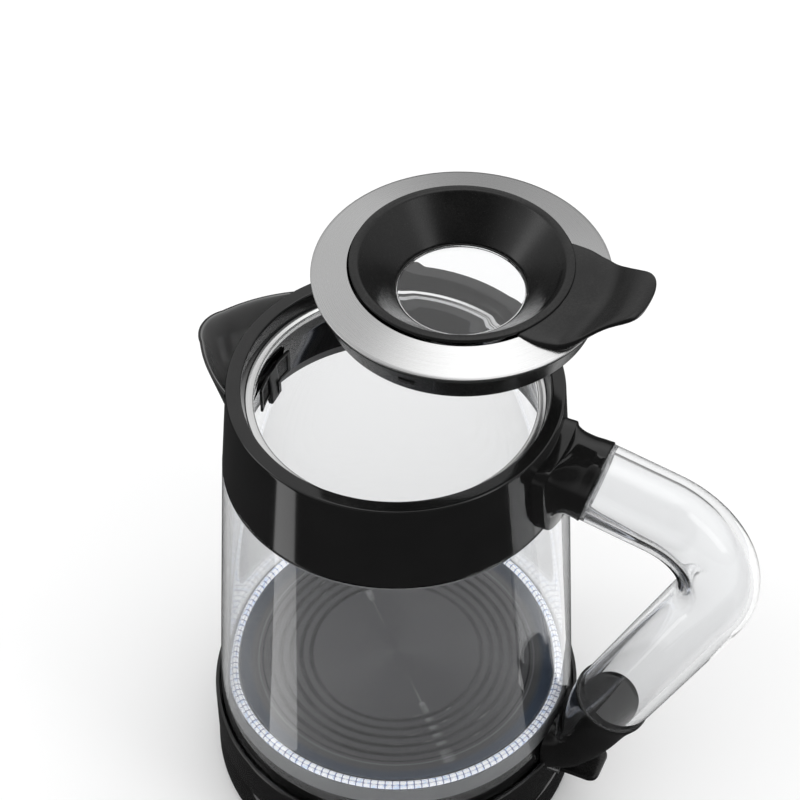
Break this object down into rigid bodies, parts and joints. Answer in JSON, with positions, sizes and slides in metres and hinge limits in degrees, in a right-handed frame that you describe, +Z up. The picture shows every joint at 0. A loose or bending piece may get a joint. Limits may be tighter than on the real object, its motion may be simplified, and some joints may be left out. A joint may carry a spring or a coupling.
{
  "type": "electric kettle",
  "caption": "Clear flared electric kettle with a black collar and spout, a round clear handle, a lift-off lid with a window, a lit ring round the heater, and a power base.",
  "frame": {"origin": "on the kettle's axis, at the underside of the power base's foot ring", "axes": "+Z up, +X to the handle, -X to the spout"},
  "size_m": [0.2377, 0.1649, 0.2993],
  "materials": {
    "clear_glass": "clear polished glass",
    "clear_plastic": "clear polished plastic",
    "gloss_black": "high gloss",
    "satin_black": "fine satin",
    "brushed_steel": "circular brushing",
    "heater_steel": "matt",
    "silicone": "matt translucent",
    "light_guide": "faceted, lit",
    "circuit_board": "lacquered",
    "fastener_steel": "plain",
    "aluminium": "as cast",
    "grey_plastic": "moulded",
    "contact_brass": "bright",
    "black_rubber": "matt"
  },
  "bodies": {
    "power_base": {"power_base_shell": "gloss_black", "base_plate": "satin_black", "base_screws": "fastener_steel", "base_foot_ring": "black_rubber", "base_connector": "grey_plastic", "base_contacts": "contact_brass", "cord_inlet": "black_rubber"},
    "turn": {"turning_ring": "satin_black"},
    "jug": {"glass_jug": "clear_glass", "collar": "gloss_black", "collar_seal": "silicone", "seat_ring": "brushed_steel", "upper_socket": "gloss_black", "handle_tube": "clear_plastic", "lower_socket": "gloss_black", "socket_screws": "fastener_steel", "heater_plate": "heater_steel", "led_ring": "light_guide", "led_board": "circuit_board", "plate_seal": "silicone", "glass_seal": "silicone", "heat_spreader": "aluminium", "heating_element": "aluminium", "base_band": "gloss_black", "bottom_cover": "satin_black", "cover_screws": "fastener_steel", "thermostat_control": "grey_plastic", "jug_connector": "grey_plastic", "switch_bracket": "fastener_steel", "switch_pin": "fastener_steel"},
    "lid": {"lid_steel_ring": "brushed_steel", "lid_funnel": "satin_black", "lid_window": "clear_plastic", "window_seal": "silicone", "lid_skirt": "satin_black", "lid_gasket": "silicone", "lid_screws": "fastener_steel"},
    "switch": {"switch_paddle": "satin_black"},
    "filter": {"filter_frame": "satin_black", "filter_mesh": "fastener_steel"}
  },
  "joints": [
    {"name": "jug_turn", "type": "hinge", "parent": "power_base", "child": "turn", "pos_m": [0, 0, 0.02], "axis": [0, 0, 1], "continuous": true},
    {"name": "jug_lift", "type": "slide", "parent": "turn", "child": "jug", "axis": [0, 0, 1], "range_m": [0, 0.12]},
    {"name": "lid_lift", "type": "slide", "parent": "jug", "child": "lid", "axis": [0.3217, 0.2103, 0.9232], "range_m": [-0.06467, 0]},
    {"name": "switch_rock", "type": "hinge", "parent": "jug", "child": "switch", "pos_m": [0.075, 0, 0.027], "axis": [0, 1, 0], "range_deg": [0, 12]},
    {"name": "filter_lift", "type": "slide", "parent": "jug", "child": "filter", "axis": [0, 0, 1], "range_m": [0, 0.034]}
  ]
}
